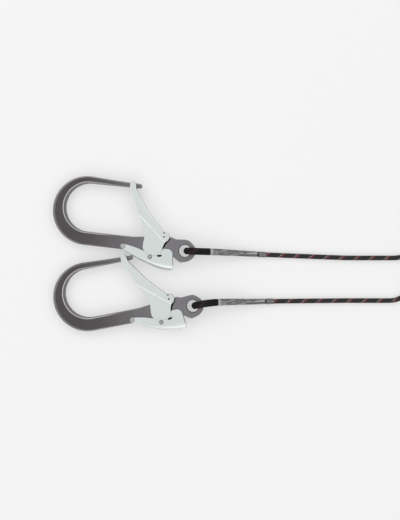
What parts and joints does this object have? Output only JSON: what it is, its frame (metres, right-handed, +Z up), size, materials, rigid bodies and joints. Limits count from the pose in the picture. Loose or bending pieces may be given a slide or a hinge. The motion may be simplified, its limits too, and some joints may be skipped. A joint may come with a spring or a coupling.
{
  "type": "twin shock-absorbing lanyard",
  "caption": "Rope lanyard with two large self-closing snap hooks on separate legs, a tear-webbing energy absorber and a screw-lock harness connector.",
  "frame": {"origin": "on the floor under the middle of the box of the rigid pieces (both hooks, steel link, absorber and connector)", "axes": "+X along the lanyard from the hooks to the harness connector, +Y across towards the upper hook, +Z up"},
  "size_m": [1.2231, 0.2606, 0.0341],
  "materials": {
    "forged_body": "dark anodised, satin, with bright worn edges",
    "white_sheet": "off-white coated sheet, semi-gloss",
    "steel": "satin",
    "spring_steel": "drawn wire",
    "black_cover": "black woven cover",
    "grey_sleeve": "translucent shrink sleeve, glossy",
    "clear_sleeve": "clear shrink sleeve",
    "rope": "black braided sheath with red and grey tracers",
    "webbing": "black woven polyester",
    "tear_webbing": "undyed tear webbing, folded and stitched",
    "connector": "zinc-plated steel rod"
  },
  "bodies": {
    "lanyard": {"upper_eye_loop": "black_cover", "upper_sleeve": "grey_sleeve", "upper_clear_sleeve": "clear_sleeve", "upper_rope": "rope", "upper_coil": "rope", "upper_coil_tie": "webbing", "upper_tail_rope": "rope", "upper_end_loop": "black_cover", "upper_end_sleeve": "grey_sleeve", "lower_eye_loop": "black_cover", "lower_sleeve": "grey_sleeve", "lower_clear_sleeve": "clear_sleeve", "lower_rope": "rope", "lower_coil": "rope", "lower_coil_tie": "webbing", "lower_tail_rope": "rope", "lower_end_loop": "black_cover", "lower_end_sleeve": "grey_sleeve", "steel_link": "steel", "absorber_leg_loop": "webbing", "absorber_cover": "webbing", "absorber_tear_pack": "tear_webbing", "absorber_harness_loop": "webbing"},
    "upper_hook": {"upper_hook_body": "forged_body", "upper_hook_gate_rivet": "steel", "upper_hook_gate_washer": "steel", "upper_hook_lever_rivet": "steel"},
    "upper_gate": {"upper_hook_gate": "white_sheet", "upper_hook_gate_spring": "spring_steel"},
    "upper_lever": {"upper_hook_lever": "white_sheet", "upper_hook_lever_spring": "spring_steel", "upper_hook_lock_pin": "steel"},
    "lower_hook": {"lower_hook_body": "forged_body", "lower_hook_gate_rivet": "steel", "lower_hook_gate_washer": "steel", "lower_hook_lever_rivet": "steel"},
    "lower_gate": {"lower_hook_gate": "white_sheet", "lower_hook_gate_spring": "spring_steel"},
    "lower_lever": {"lower_hook_lever": "white_sheet", "lower_hook_lever_spring": "spring_steel", "lower_hook_lock_pin": "steel"},
    "connector": {"connector_body": "connector", "connector_gate_rivet": "steel"},
    "connector_gate": {"connector_gate": "connector"},
    "connector_sleeve": {"connector_screw_sleeve": "steel"}
  },
  "joints": [
    {"name": "upper_hook_swing", "type": "hinge", "parent": "lanyard", "child": "upper_hook", "pos_m": [-0.3929, 0.0047, 0.0168], "axis": [-0.0398, 0.0046, 0.9992], "range_deg": [-40, 0]},
    {"name": "upper_gate_hinge", "type": "hinge", "parent": "upper_hook", "child": "upper_gate", "pos_m": [-0.42678, 0.02745, 0.01534], "axis": [-0.0398, 0.0046, 0.9992], "range_deg": [0, 45], "stiffness_Nm_per_rad": 0.25, "springref_deg": -28.65},
    {"name": "upper_lever_hinge", "type": "hinge", "parent": "upper_hook", "child": "upper_lever", "pos_m": [-0.4948, 0.01246, 0.0127], "axis": [-0.0398, 0.0046, 0.9992], "range_deg": [0, 5], "stiffness_Nm_per_rad": 0.5, "springref_deg": -5.73},
    {"name": "lower_hook_swing", "type": "hinge", "parent": "lanyard", "child": "lower_hook", "pos_m": [-0.3797, -0.0864, 0.0168], "axis": [-0.0394, -0.0076, 0.9992], "range_deg": [0, 40]},
    {"name": "lower_gate_hinge", "type": "hinge", "parent": "lower_hook", "child": "lower_gate", "pos_m": [-0.41885, -0.0749, 0.01534], "axis": [-0.0394, -0.0076, 0.9992], "range_deg": [0, 45], "stiffness_Nm_per_rad": 0.25, "springref_deg": -28.65},
    {"name": "lower_lever_hinge", "type": "hinge", "parent": "lower_hook", "child": "lower_lever", "pos_m": [-0.47922, -0.10964, 0.0127], "axis": [-0.0394, -0.0076, 0.9992], "range_deg": [0, 5], "stiffness_Nm_per_rad": 0.5, "springref_deg": -5.73},
    {"name": "connector_swing", "type": "hinge", "parent": "lanyard", "child": "connector", "pos_m": [0.52499, 0, 0.01386], "axis": [0.108, 0, 0.9942], "range_deg": [-45, 45]},
    {"name": "connector_gate_hinge", "type": "hinge", "parent": "connector", "child": "connector_gate", "pos_m": [0.52637, 0.01839, 0.01371], "axis": [-0.108, 0, -0.9942], "range_deg": [0, 25], "stiffness_Nm_per_rad": 0.1, "springref_deg": -28.65},
    {"name": "connector_sleeve_slide", "type": "slide", "parent": "connector_gate", "child": "connector_sleeve", "axis": [-0.984, -0.1429, 0.1069], "range_m": [-0.013, 0]}
  ],
  "couplings": [
    {"joint": "upper_lever_hinge", "follows": "upper_gate_hinge", "ratio": 0.111},
    {"joint": "lower_lever_hinge", "follows": "lower_gate_hinge", "ratio": 0.111}
  ]
}
